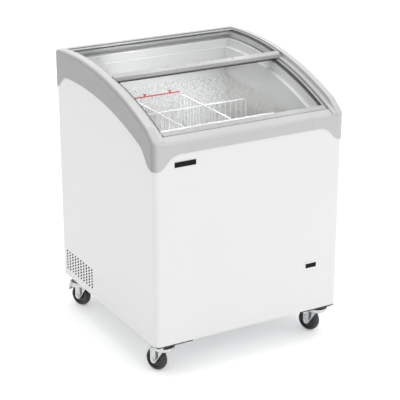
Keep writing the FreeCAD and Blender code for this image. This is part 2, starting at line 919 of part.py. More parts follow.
def compressor():
    """A sealed steel can on a base plate."""
    base = str(COMP_X)
    y = str(FAN_Y)
    can = cylinder("can", "z", (base, y, "150"), "62", "92")
    domes = []
    for name, z in (("dome_low", "150"), ("dome_top", "242")):
        dome = new("Part::Ellipsoid", name)
        dome.Radius1, dome.Radius2, dome.Radius3 = 26, 62, 62
        dome.Angle1, dome.Angle2, dome.Angle3 = -90, 90, 360
        domes.append(put(dome, base, y, z))
    weld = cylinder("can_weld", "z", (base, y, "194"), "65", "5")
    plate = box("can_plate", (f"{COMP_X} - 85", f"{COMP_X} + 85"), ("160", "270"), ("122", "125"))
    subpart("compressor", union("compressor_can", can, *domes, weld, plate))
    feet = []
    for n, (dx, dy) in enumerate(((-72, 168), (72, 168), (-72, 262), (72, 262))):
        place = (str(COMP_X + dx), str(dy), "cab_base + tray_t")
        feet.append(cylinder(f"foot_{n}", "z", place, "10", "122 - cab_base - tray_t"))
    subpart("compressor_feet", group("compressor_grommets", *feet))
    relay = box("relay", (f"{COMP_X} + 62.5", f"{COMP_X} + 92"), ("190", "240"), ("160", "222"))
    subpart("relay_box", cut("relay_fit", relay, can, weld))


def condenser():
    """A finned block with return bends at both ends."""
    x0, x1 = -318.0, -282.0
    y0, y1 = 130.0, 302.0
    z0, z1 = 118.0, 314.0
    fins = [Part.makeBox(x1 - x0, 1.2, z1 - z0, Vector(x0, y, z0)) for y in
            [y0 + (y1 - y0) * n / 24 for n in range(25)]]
    tubes = []
    rows = 6
    spacing = (z1 - z0) / rows
    for row in range(rows):
        z = z0 + spacing * (row + 0.5)
        for x in (x0 + 9, x1 - 9):
            tubes.append(Part.makeCylinder(4, y1 - y0 + 1.2, Vector(x, y0, z), Vector(0, 1, 0)))
        for y, turn in ((y0, 180), (y1 + 1.2, 0)):
            bend = Part.makeTorus(9, 4, Vector(x0 + 18, y, z), Vector(0, 0, 1), -180, 180, 180)
            bend.rotate(Vector(x0 + 18, y, z), Vector(0, 0, 1), turn)
            tubes.append(bend)
    block = tubes[0].fuse(tubes[1:] + fins)
    subpart("condenser", fixed("condenser_block", block))


def fan():
    """A square shroud with a ring opening, a motor on four arms behind it, and the blades."""
    centre = (FAN_Y, FAN_Z)
    plate = box("shroud_plate", ("-276", "-273"), ("130", "300"), ("cab_base + tray_t", "314"))
    opening = cylinder("shroud_opening", "x", ("-280", str(FAN_Y), str(FAN_Z)), "81", "12")
    frame = cut("shroud", plate, opening)
    arms = []
    for n, (y, z) in enumerate(((-1, 0), (1, 0), (0, -1), (0, 1))):
        wide_y = ("-70", "70")[y > 0], ("-86", "86")[y > 0]
        if y:
            low, high = sorted((FAN_Y + y * 28, FAN_Y + y * 84))
            strip = box(f"arm_{n}", ("-226", "-223"), (str(low), str(high)), ("212", "220"))
            post_y = sorted((FAN_Y + y * 81.5, FAN_Y + y * 84.5))
            post = box(f"post_{n}", ("-274", "-223"), tuple(map(str, post_y)), ("212", "220"))
        else:
            low, high = sorted((FAN_Z + z * 28, FAN_Z + z * 84))
            strip = box(f"arm_{n}", ("-226", "-223"), ("211", "219"), (str(low), str(high)))
            post_z = sorted((FAN_Z + z * 81.5, FAN_Z + z * 84.5))
            post = box(f"post_{n}", ("-274", "-223"), ("211", "219"), tuple(map(str, post_z)))
        arms += [strip, post]
    ring = cut(
        "motor_ring",
        cylinder("motor_ring_outer", "x", ("-226", str(FAN_Y), str(FAN_Z)), "34", "3"),
        cylinder("motor_ring_inner", "x", ("-227", str(FAN_Y), str(FAN_Z)), "26.05", "5"),
    )
    subpart("fan_bracket", union("fan_frame", frame, ring, *arms))
    motor = cylinder("motor_can", "x", ("-238", str(FAN_Y), str(FAN_Z)), "26", "40")
    bore = cylinder("motor_bore", "x", ("-240", str(FAN_Y), str(FAN_Z)), "3 + running", "26")
    subpart("fan_motor", cut("motor", motor, bore))
    hub = Part.makeCylinder(17, 16, Vector(-260, *centre), Vector(1, 0, 0))
    shaft = Part.makeCylinder(3, 44, Vector(-260, *centre), Vector(1, 0, 0))
    blades = []
    for n in range(5):
        blade = Part.makeBox(2, 40, 60)
        blade.translate(Vector(-1, -20, 15))
        blade.rotate(Vector(), Vector(0, 0, 1), 16)
        limit = Part.makeCylinder(76, 60, Vector(-30, 0, 0), Vector(1, 0, 0))
        blade = blade.common(limit)
        blade.translate(Vector(-252, *centre))
        blade.rotate(Vector(-252, *centre), Vector(1, 0, 0), 72 * n)
        blades.append(blade)
    subpart("fan_blade", fixed("fan_rotor", hub.fuse([shaft] + blades)))


def refrigerant_lines():
    """The lines between compressor, condenser and tub, with the filter drier brazed in."""
    x, y = -120.0, 285.0
    drier = Part.makeCylinder(11, 90, Vector(x, y, 170))
    for z, r1, r2 in ((160, 3, 11), (260, 11, 3)):
        drier = drier.fuse(Part.makeCone(r1, r2, 10, Vector(x, y, z)))
    radius = 3.0
    discharge = [
        (COMP_X - 64.5, 205, 190),
        (COMP_X - 110, 205, 190),
        (COMP_X - 110, 140, 190),
        (COMP_X - 110, 140, 300),
        (-240, 140, 300),
        (-240, 120, 300),
        (-300, 120, 300),
    ]
    liquid = [(-300, 120, 130), (x, 120, 130), (x, y, 130), (x, y, 161)]
    up = [(x, y, 269), (x, y, 300), (-60, y, 300), (-60, y, 329.5)]
    suction = [(COMP_X - 64.5, 235, 200), (-10, 235, 200), (-10, 235, 329.5)]
    tubes = [
        tube_along(path_wire(route, 9.0), radius) for route in (discharge, liquid, up, suction)
    ]
    subpart("refrigerant_lines", fixed("lines", drier.fuse(tubes)))


def rear_controls():
    """A thermostat knob on its shaft, and the gland where the mains lead would enter."""
    body = new("PartDesign::Body", "knob_body")
    outline = sketch_outline(
        body,
        "XY",
        [
            ("0.0001", "-14"),
            ("3", "-14"),
            ("3", "1.5"),
            ("16", "1.5"),
            ("14.5", "12"),
            ("0.0001", "12"),
        ],
        "knob_section",
    )
    doc.recompute()
    turned = body.newObject("PartDesign::Revolution", "knob_turned")
    turned.Profile = outline
    turned.ReferenceAxis = (outline, ["V_Axis"])
    turned.Angle = 360
    body.Tip = turned
    doc.recompute()
    put(body, "200", "grille_y + grille_t", "270")
    pointer = box(
        "knob_pointer", ("199", "201"), ("grille_y + grille_t + 12", "333"), ("272", "284")
    )
    subpart("thermostat_knob", union("knob", body, pointer))
    gland = union(
        "gland",
        cylinder("gland_neck", "y", ("270", "grille_y - 8", "150"), "7.9", "14"),
        cylinder("gland_nut", "y", ("270", "grille_y + grille_t", "150"), "12", "8"),
        cylinder("gland_tail", "y", ("270", "grille_y + grille_t + 7", "150"), "8", "9"),
    )
    hole = cylinder("gland_bore", "y", ("270", "grille_y - 20", "150"), "4", "60")
    subpart("cable_gland", cut("gland_bored", gland, hole))


# ---------------------------------------------------------------- front fittings


def front_fittings():
    face = "-cab_d / 2"
    badge = box(
        "badge", ("badge_x - 36", "badge_x + 36"), (f"{face} - 1.5", face),
        ("badge_z - 8", "badge_z + 8"),
    )
    subpart("badge_plate", badge)
    bezel = box(
        "bezel", ("display_x - 24", "display_x + 24"), (f"{face} - 2", face),
        ("display_z - 11.5", "display_z + 11.5"),
    )
    x = ("display_x - 20.5", "display_x + 20.5")
    z = ("display_z - 8", "display_z + 8")
    opening = box("bezel_opening", x, (f"{face} - 5", f"{face} + 1"), z)
    subpart("display_bezel", cut("bezel_frame", bezel, opening))
    subpart("display_window", box("window", x, (f"{face} - 1.2", face), z))


# ---------------------------------------------------------------- castors


def castor_fixings():
    """Top plates with the upper race and king pin, and the bolts through plate and tray."""
    plates = []
    for corner, sign, pivot in castor_corners():
        x = PLATE_X if sign > 0 else tuple("-" + edge for edge in reversed(PLATE_X))
        y = (f"{pivot} - {PLATE_HALF_Y}", f"{pivot} + {PLATE_HALF_Y}")
        centre = (str(sign) + " * castor_x", pivot)
        plate = box(f"plate_{corner}", x, y, ("cab_base - plate_t", "cab_base"))
        race = cylinder(
            f"race_{corner}", "z", (*centre, "race_low"), "race_rad", "cab_base - plate_t - race_low + 1"
        )
        pin = cylinder(f"pin_{corner}", "z", (*centre, "78"), "king_rad", "cab_base - 80")
        head = cylinder(f"pin_head_{corner}", "z", (*centre, "77.4"), "9", "3")
        plates.append(union(f"top_{corner}", plate, race, pin, head))
    holes = bolt_holes("plate_holes", "cab_base - plate_t - 1", "cab_base + 1")
    drilled = [cut(f"drilled_{n}", plate, holes) for n, plate in enumerate(plates)]
    subpart("castor_plates", group("plates", *drilled))
    bolts = []
    for label, x, pivot, side in bolt_places():
        place = (str(x), f"{pivot} + {side * BOLT_HALF_Y}")
        shank = cylinder(
            f"shank_{label}", "z", (*place, "cab_base - plate_t - 3"), str(BOLT_RAD),
            "plate_t + tray_t + 3",
        )
        head = new("Part::Prism", f"head_{label}")
        head.Polygon = 6
        head.Circumradius = 7.5
        bind(head, "Height", "5")
        put(head, *place, "cab_base - plate_t - 5")
        bolts.append(union(f"bolt_{label}", shank, head))
    subpart("castor_bolts", group("bolts", *bolts))


def fork_leg_outline(inner_x):
    """A leg of the fork in its own upright plane: broad at the top, a round eye at the axle."""
    eye = 11.0
    trail, axle_z = size("trail"), size("wheel_rad")
    top = size("fork_top") - 10
    near, far = -12.0, trail + 3
    # tangent from the near top corner to the eye
    gap = Vector(0, near - trail, top - axle_z)
    lean = math.atan2(gap.z, gap.y) - math.acos(eye / gap.Length)
    touch = Vector(0, trail + eye * math.cos(lean), axle_z + eye * math.sin(lean))
    low = Vector(0, trail, axle_z - eye)
    side = Vector(0, trail + eye, axle_z)
    corner_far = Vector(0, far + 8, top)
    corner_near = Vector(0, near, top)
    if touch.y > trail:
        lean = math.atan2(gap.z, gap.y) + math.acos(eye / gap.Length)
        touch = Vector(0, trail + eye * math.cos(lean), axle_z + eye * math.sin(lean))
    edges = [
        Part.LineSegment(corner_near, touch).toShape(),
        Part.Arc(touch, low, side).toShape(),
        Part.LineSegment(side, corner_far).toShape(),
        Part.LineSegment(corner_far, corner_near).toShape(),
    ]
    face = Part.Face(Part.Wire(edges))
    face.translate(Vector(inner_x, 0, 0))
    return face


def castor(corner, sign, pivot, braked):
    """Fork, wheel, axle and, where braked, a pedal, built at a pivot at the origin and then set."""
    trail, axle_z = size("trail"), size("wheel_rad")
    half_gap, sheet = size("fork_gap") / 2, size("fork_sheet")
    cup_low = 80.0
    hole_rad = size("axle_rad") + 0.05
    cup = Part.makeCylinder(size("cup_rad"), size("fork_top") - cup_low, Vector(0, 0, cup_low))
    cup = cup.makeFillet(4, [cup.Edges[2]])
    bridge = Part.makeBox(2 * (half_gap + sheet), 50, 3, Vector(-half_gap - sheet, -20, cup_low))
    legs = []
    for x in (-half_gap - sheet, half_gap):
        legs.append(fork_leg_outline(x).extrude(Vector(sheet, 0, 0)))
    fork = cup.fuse([bridge] + legs)
    if braked:
        for x in (-half_gap - sheet, half_gap):
            ear = Part.makeBox(sheet, 30, 14, Vector(x, 33, 66))
            fork = fork.fuse(ear)
    king = Part.makeCylinder(size("king_rad") + size("running"), 30, Vector(0, 0, 70))
    recess = Part.makeCylinder(11, 4, Vector(0, 0, 77))
    through = Part.makeCylinder(hole_rad, 60, Vector(-30, trail, axle_z), Vector(1, 0, 0))
    fork = fork.cut(king).cut(recess).cut(through)
    pedal_y, pedal_z, pin_rad = 58.0, 73.0, 3.0
    if braked:
        pin_hole = Part.makeCylinder(
            pin_rad + size("running"), 60, Vector(-30, pedal_y, pedal_z), Vector(1, 0, 0)
        )
        fork = fork.cut(pin_hole)
    tyre_half, hub_half = size("wheel_w") / 2, size("hub_w") / 2
    rad = size("wheel_rad")
    section = [
        (hole_rad, -hub_half), (12, -hub_half), (12, -8), (25, -8), (27, -tyre_half),
        (rad - 5, -tyre_half),
    ]
    far = [(r, -x) for r, x in reversed(section)]
    edges = []
    for start, end in zip(section, section[1:]):
        edges.append((start, end))
    for start, end in zip(far, far[1:]):
        edges.append((start, end))

    def spot(r, x):
        return Vector(x, trail, axle_z + r)

    shapes = [Part.LineSegment(spot(*a), spot(*b)).toShape() for a, b in edges]
    shapes.insert(5, Part.Arc(spot(*section[-1]), spot(rad, 0), spot(*far[0])).toShape())
    shapes.append(Part.LineSegment(spot(*far[-1]), spot(*section[0])).toShape())
    profile = Part.Face(Part.Wire(Part.sortEdges(shapes)[0]))
    wheel = profile.revolve(Vector(0, trail, axle_z), Vector(1, 0, 0), 360)
    outer = half_gap + sheet
    axle = Part.makeCylinder(
        size("axle_rad"), 2 * outer + 2, Vector(-outer - 1, trail, axle_z), Vector(1, 0, 0)
    )
    for x in (-outer - 4, outer):
        nut = Part.makeCylinder(6.5, 4, Vector(x, trail, axle_z), Vector(1, 0, 0))
        axle = axle.fuse(nut)
    made = [("fork", fork), ("wheel", wheel), ("axle", axle)]
    if braked:
        made.append(("brake_pedal", brake_pedal(pedal_y, pedal_z, pin_rad, half_gap, sheet)))
    turn = FreeCAD.Rotation(Vector(0, 0, 1), size("castor_turn"))
    for kind, shape in made:
        node = f"{kind}_{corner}" if kind == "brake_pedal" else f"castor_{kind}_{corner}"
        piece = fixed(node + "_shape", shape)
        piece.Placement = FreeCAD.Placement(Vector(), turn)
        put(piece, f"{sign} * castor_x", pivot, "0")
        subpart(node, piece)


def brake_pedal(y, z, pin_rad, half_gap, sheet):
    """A pedal on a cross pin behind the wheel, with its tread sloping down and out."""
    reach = half_gap + sheet
    pin = Part.makeCylinder(pin_rad, 2 * reach + 4, Vector(-reach - 2, y, z), Vector(1, 0, 0))
    barrel = Part.makeCylinder(6, 2 * half_gap - 1, Vector(-half_gap + 0.5, y, z), Vector(1, 0, 0))
    tread = [(y - 2, z + 5), (y + 6, z + 14), (y + 11, z + 13), (y + 19, z - 24),
             (y + 15, z - 25), (y + 6, z - 4)]
    corners = [Vector(-half_gap + 0.5, a, b) for a, b in tread]
    face = Part.Face(Part.makePolygon(corners + corners[:1]))
    plate = face.extrude(Vector(2 * half_gap - 1, 0, 0))
    return pin.fuse([barrel, plate])


# ---------------------------------------------------------------- build

side_panels()
front_panel()
rear_panel()
base_tray()
LINER_OUTER = tub_liner()
THROAT_OUTER = throat_frame()
rear_insert()
insulation(LINER_OUTER, THROAT_OUTER)
evaporator()
load_line_label()
drain_plug()
collar()
front_lid()
rear_lid()
dividers()
rear_grille()
compressor()
condenser()
fan()
refrigerant_lines()
rear_controls()
front_fittings()
castor_fixings()
for corner, sign, pivot in castor_corners():
    castor(corner, sign, pivot, braked=corner.startswith("rear"))

doc.recompute()
failed = [o.Name for o in doc.Objects if "Invalid" in o.State or "Error" in o.State]
if failed:
    raise SystemExit(f"these objects failed: {failed}")
for node, obj in SUBPARTS.items():
    if obj.Shape.isNull() or not obj.Shape.isValid():
        raise SystemExit(f"{node} has no valid shape")

os.makedirs("parts", exist_ok=True)
for node, obj in SUBPARTS.items():
    obj.Shape.exportStep(f"parts/{node}.step")
    print(f"{node:24} {len(obj.Shape.Solids):3} solids {obj.Shape.Volume / 1000:10.1f} cm3")
print(len(SUBPARTS), "nodes")
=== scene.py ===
import json
import math

import bmesh
import bpy
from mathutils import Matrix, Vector


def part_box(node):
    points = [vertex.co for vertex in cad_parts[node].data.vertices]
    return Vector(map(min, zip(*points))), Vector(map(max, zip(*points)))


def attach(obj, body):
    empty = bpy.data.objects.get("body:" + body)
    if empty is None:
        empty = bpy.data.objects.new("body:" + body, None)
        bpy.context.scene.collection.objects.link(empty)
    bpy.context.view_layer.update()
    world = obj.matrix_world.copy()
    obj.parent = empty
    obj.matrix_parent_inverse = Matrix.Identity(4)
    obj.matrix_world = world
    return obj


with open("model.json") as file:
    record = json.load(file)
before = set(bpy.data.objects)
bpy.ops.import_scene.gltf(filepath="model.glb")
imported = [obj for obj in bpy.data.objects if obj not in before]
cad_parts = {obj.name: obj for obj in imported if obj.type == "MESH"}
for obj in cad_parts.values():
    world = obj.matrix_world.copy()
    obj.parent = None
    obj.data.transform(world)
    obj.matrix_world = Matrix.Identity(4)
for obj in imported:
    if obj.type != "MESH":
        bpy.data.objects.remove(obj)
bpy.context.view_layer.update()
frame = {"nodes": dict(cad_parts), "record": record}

# ------------------------------------------------------------------ camera and stage

CAMERA_AT = Vector((-2.055, -3.6115, 1.974))
CAMERA_YAW = math.radians(29.801)
CAMERA_PITCH = math.radians(20.481)
LENS_MM, SENSOR_MM = 120.942, 36.0


def add_camera():
    """A long lens to the left of the front, looking down at the freezer."""
    data = bpy.data.cameras.new("camera")
    data.sensor_width = SENSOR_MM
    data.lens = LENS_MM
    data.clip_start, data.clip_end = 0.1, 60.0
    camera = bpy.data.objects.new("camera", data)
    camera.location = CAMERA_AT
    ahead = Vector((
        math.sin(CAMERA_YAW) * math.cos(CAMERA_PITCH),
        math.cos(CAMERA_YAW) * math.cos(CAMERA_PITCH),
        -math.sin(CAMERA_PITCH),
    ))
    camera.rotation_mode = "QUATERNION"
    camera.rotation_quaternion = ahead.to_track_quat("-Z", "Y")
    bpy.context.scene.collection.objects.link(camera)
    bpy.context.scene.camera = camera


def area_light(name, at, aim, size, power, spread=180.0):
    """A rectangular lamp that looks from one point at another; size in metres, power in watts."""
    data = bpy.data.lights.new(name, "AREA")
    data.spread = math.radians(spread)
    data.shape = "RECTANGLE"
    data.size, data.size_y = size
    data.energy = power
    lamp = bpy.data.objects.new(name, data)
    lamp.location = at
    lamp.rotation_mode = "QUATERNION"
    lamp.rotation_quaternion = (Vector(aim) - Vector(at)).to_track_quat("-Z", "Y")
    bpy.context.scene.collection.objects.link(lamp)
    return lamp


def add_world():
    """A white studio with a little less light from the left, and colours shown as they are."""
    world = bpy.data.worlds.new("studio")
    world.use_nodes = True
    background = world.node_tree.nodes["Background"]
    background.inputs["Color"].default_value = (1.0, 1.0, 1.0, 1.0)
    nodes, links = world.node_tree.nodes, world.node_tree.links
    towards = nodes.new("ShaderNodeSeparateXYZ")
    links.new(nodes.new("ShaderNodeTexCoord").outputs["Generated"], towards.inputs[0])
    fade = nodes.new("ShaderNodeMapRange")
    for key, number in (("From Min", -1.0), ("From Max", 0.2), ("To Min", 0.93), ("To Max", 1.0)):
        fade.inputs[key].default_value = number
    links.new(towards.outputs["X"], fade.inputs["Value"])
    links.new(fade.outputs["Result"], background.inputs["Strength"])
    bpy.context.scene.world = world
    bpy.context.scene.view_settings.view_transform = "Standard"


BEAM_SLANT = Vector((0.134, 0.45, -0.883))  # the way that the beams shine, down and to the back
BEAM_AWAY, BEAM_SIZE, BEAM_POWER, BEAM_SPREAD = 1.4, (0.43, 0.17), 0.32, 6.0
GLASS_MIDDLES = (("well_front", (0, -0.155, 0.829)), ("well_rear", (0, 0.14, 0.899)))


def add_lights():
    """Big soft lamps, and two narrow beams through the lids' glass, either side of the bar."""
    area_light("key", (1.4, -3.4, 3.2), (0, 0, 0.5), (1.6, 1.6), 24)
    area_light("top", (0.1, 0.3, 3.4), (0, 0, 0.5), (1.6, 1.6), 26)
    for name, middle in GLASS_MIDDLES:
        lamp_at = Vector(middle) - BEAM_AWAY * BEAM_SLANT
        beam = area_light(name, lamp_at, middle, BEAM_SIZE, BEAM_POWER, BEAM_SPREAD)
        beam.visible_camera = False
        beam.visible_glossy = False
    area_light("back", (1.5, 3.6, 2.6), (0, 0, 0.6), (2.5, 2.0), 5)


# ------------------------------------------------------------------ materials


class Surface:
    """A Principled material with small helpers for its procedural nodes."""

    def __init__(self, name):
        self.made = bpy.data.materials.new(name)
        self.made.use_nodes = True
        self.tree = self.made.node_tree
        self.shader = self.tree.nodes["Principled BSDF"]
        self.place = self.node("ShaderNodeTexCoord").outputs["Object"]

    def node(self, kind, **settings):
        made = self.tree.nodes.new(kind)
        for key, value in settings.items():
            setattr(made, key, value)
        return made

    def link(self, source, target):
        self.tree.links.new(source, target)

    def set(self, **values):
        for key, value in values.items():
            self.shader.inputs[key.replace("_", " ")].default_value = value
        return self

    def noise(self, scale, detail):
        made = self.node("ShaderNodeTexNoise")
        made.inputs["Scale"].default_value = scale
        made.inputs["Detail"].default_value = detail
        self.link(self.place, made.inputs["Vector"])
        return made.outputs["Fac"]

    def cells(self, scale, feature="F1", vector=None, output="Distance"):
        made = self.node("ShaderNodeTexVoronoi", feature=feature)
        made.inputs["Scale"].default_value = scale
        self.link(vector or self.place, made.inputs["Vector"])
        return made.outputs[output]

    def span(self, value, low, high, out_low, out_high):
        made = self.node("ShaderNodeMapRange")
        for key, number in zip(("From Min", "From Max", "To Min", "To Max"),
                               (low, high, out_low, out_high)):
            made.inputs[key].default_value = number
        self.link(value, made.inputs["Value"])
        return made.outputs["Result"]

    def math(self, kind, first, second):
        made = self.node("ShaderNodeMath", operation=kind)
        for slot, value in zip(made.inputs, (first, second)):
            if isinstance(value, (int, float)):
                slot.default_value = value
            else:
                self.link(value, slot)
        return made.outputs[0]

    def mix(self, factor, first, second):
        made = self.node("ShaderNodeMix", data_type="RGBA")
        self.link(factor, made.inputs[0])
        for slot, value in ((made.inputs[6], first), (made.inputs[7], second)):
            if isinstance(value, tuple):
                slot.default_value = (*value, 1.0)
            else:
                self.link(value, slot)
        return made.outputs[2]

    def axes(self, vector):
        """The X, Y and Z outputs of a vector."""
        made = self.node("ShaderNodeSeparateXYZ")
        self.link(vector, made.inputs[0])
        return made.outputs

    def facing(self):
        """The X, Y and Z of the way that the surface faces."""
        return self.axes(self.node("ShaderNodeNewGeometry").outputs["Normal"])

    def magnitude(self, value):
        return self.math("ABSOLUTE", value, 0.0)

    def sideways(self):
        """1 on faces that look to the left or the right, fading to 0 on all others."""
        return self.span(self.magnitude(self.facing()["X"]), 0.35, 0.98, 0.0, 1.0)

    def colour(self, value):
        self.link(value, self.shader.inputs["Base Color"])
        return self

    def rough(self, value, low, high, out_low, out_high):
        self.link(self.span(value, low, high, out_low, out_high), self.shader.inputs["Roughness"])
        return self

    def bumps(self, *layers):
        """Stacks bump layers of (height, depth in metres)."""
        normal = None
        for height, depth in layers:
            made = self.node("ShaderNodeBump")
            made.inputs["Strength"].default_value = 1.0
            made.inputs["Distance"].default_value = depth
            self.link(height, made.inputs["Height"])
            if normal:
                self.link(normal, made.inputs["Normal"])
            normal = made.outputs["Normal"]
        self.link(normal, self.shader.inputs["Normal"])
        return self


def grained(name, dark, light, rough):
    """Paint or moulded plastic: slow changes of tone, fine grain and uneven gloss."""
    look = Surface(name)
    look.colour(look.mix(look.noise(6.0, 4.0), dark, light))
    look.rough(look.noise(42.0, 5.0), 0.3, 0.7, rough - 0.05, rough + 0.06)
    return look.bumps((look.noise(900.0, 2.0), 0.00004)).made


def cabinet_paint():
    """White powder coat with orange peel, painted shade that makes the sides a tone deeper, dusty
    near the floor.
    """
    look = Surface("cabinet_white").set(Specular_IOR_Level=0.45, Coat_Weight=0.12,
                                        Coat_Roughness=0.2)
    tone = look.mix(look.noise(2.5, 4.0), (0.662, 0.662, 0.662), (0.687, 0.687, 0.687))
    low = look.span(look.axes(look.place)["Z"], 0.108, 0.15, 1.0, 0.0)
    dust = look.math("MULTIPLY", low, look.span(look.noise(38.0, 6.0), 0.45, 0.75, 0.0, 0.18))
    # painted shade: the side faces are drawn a tone darker
    tone = look.mix(look.sideways(), tone, (0.645, 0.646, 0.648))
    look.colour(look.mix(dust, tone, (0.62, 0.61, 0.59)))
    look.rough(look.noise(30.0, 4.0), 0.3, 0.7, 0.34, 0.44)
    return look.bumps((look.noise(330.0, 2.0), 0.00012), (look.noise(4.0, 1.0), 0.0008)).made


def collar_plastic():
    """Light grey satin plastic, with painted shade that makes its outer side faces deeper and
    painted light that makes its top lighter.
    """
    look = Surface("collar_plastic").set(Specular_IOR_Level=0.5, Coat_Weight=0.25,
                                         Coat_Roughness=0.18)
    tone = look.mix(look.noise(5.0, 4.0), (0.44, 0.442, 0.445), (0.465, 0.467, 0.47))
    outside = look.span(look.magnitude(look.axes(look.place)["X"]), 0.318, 0.33, 0.0, 1.0)
    # painted shade: the outer side faces are drawn darker
    painted_side_shade = look.math("MULTIPLY", look.sideways(), outside)
    # painted light: faces that look up are drawn lighter
    painted_top_light = look.span(look.facing()["Z"], 0.6, 0.95, 0.0, 1.0)
    tone = look.mix(painted_top_light, tone, (0.495, 0.497, 0.50))
    look.colour(look.mix(painted_side_shade, tone, (0.262, 0.264, 0.267)))
    look.rough(look.noise(26.0, 4.0), 0.3, 0.7, 0.33, 0.42)
    return look.bumps((look.noise(1500.0, 2.0), 0.00003)).made


def stucco_aluminium():
    """Aluminium sheet with an embossed stucco pattern, painted shade in its hollows, painted light
    on its raised pebbles and a painted warm light on its side walls.
    """
    look = Surface("tub_aluminium").set(Metallic=0.1)
    wander = look.node("ShaderNodeVectorMath", operation="SCALE")
    noise = look.node("ShaderNodeTexNoise")
    noise.inputs["Scale"].default_value = 60.0
    look.link(look.place, noise.inputs["Vector"])
    look.link(noise.outputs["Color"], wander.inputs[0])
    wander.inputs["Scale"].default_value = 0.012
    moved = look.node("ShaderNodeVectorMath", operation="ADD")
    look.link(look.place, moved.inputs[0])
    look.link(wander.outputs[0], moved.inputs[1])
    pebble = look.cells(230.0, "SMOOTH_F1", moved.outputs[0])
    raised = look.span(pebble, 0.2, 0.6, 1.0, 0.0)
    # painted warm light: the side walls are drawn a warmer grey
    side_warm_light = look.sideways()
    # painted shade in the hollows between the pebbles, and painted light on the raised pebbles
    # (proud)
    shaded_hollows = look.mix(side_warm_light, (0.49, 0.497, 0.49), (0.53, 0.524, 0.50))
    proud = look.mix(side_warm_light, (0.79, 0.798, 0.788), (0.785, 0.777, 0.745))
    look.colour(look.mix(raised, shaded_hollows, proud))
    look.rough(look.noise(300.0, 3.0), 0.3, 0.7, 0.3, 0.44)
    return look.bumps((raised, 0.0005), (look.noise(900.0, 2.0), 0.0001)).made


def throat_plastic():
    """Light grey moulded plastic of the inner frame, with a slight painted shade that keeps its
    side walls even in tone at the dark end.
    """
    look = Surface("throat_plastic").set(Specular_IOR_Level=0.45)
    tone = look.mix(look.noise(6.0, 4.0), (0.62, 0.622, 0.625), (0.655, 0.657, 0.66))
    # painted shade: side walls are drawn at the darker end of the tone
    look.colour(look.mix(look.sideways(), tone, (0.62, 0.622, 0.625)))
    look.rough(look.noise(26.0, 4.0), 0.3, 0.7, 0.34, 0.44)
    return look.bumps((look.noise(1300.0, 2.0), 0.00003)).made


def lid_glass():
    """Clear safety glass that stays clear along the line of sight."""
    look = Surface("lid_glass").set(Alpha=0.045, IOR=1.45, Specular_IOR_Level=0.5)
    look.colour(look.mix(look.noise(9.0, 3.0), (0.84, 0.88, 0.875), (0.88, 0.91, 0.905)))
    look.rough(look.noise(60.0, 5.0), 0.3, 0.8, 0.015, 0.06)
    return look.made


def zinc(name, dark, light, rough=0.32):
    """Zinc plating with faint spangles."""
    look = Surface(name).set(Metallic=0.9)
    spangle = look.cells(160.0, "F1", output="Color")
    grey = look.node("ShaderNodeRGBToBW")
    look.link(spangle, grey.inputs[0])
    look.colour(look.mix(grey.outputs[0], dark, light))
    look.rough(grey.outputs[0], 0.2, 0.8, rough - 0.06, rough + 0.1)
    return look.bumps((look.noise(700.0, 3.0), 0.00006)).made


def foam_material():
    """Yellow rigid foam with open pores."""
    look = Surface("foam").set(Roughness=0.9)
    pores = look.cells(380.0)
    look.colour(look.mix(pores, (0.62, 0.50, 0.27), (0.80, 0.70, 0.45)))
    return look.bumps((pores, 0.001), (look.noise(40.0, 4.0), 0.004)).made


def condenser_paint():
    """Black painted metal of the condenser."""
    look = Surface("condenser_metal").set(Metallic=0.4)
    look.colour(look.mix(look.noise(60.0, 4.0), (0.02, 0.02, 0.022), (0.06, 0.06, 0.062)))
    look.rough(look.noise(90.0, 3.0), 0.3, 0.7, 0.35, 0.5)
    return look.bumps((look.noise(500.0, 2.0), 0.00008)).made


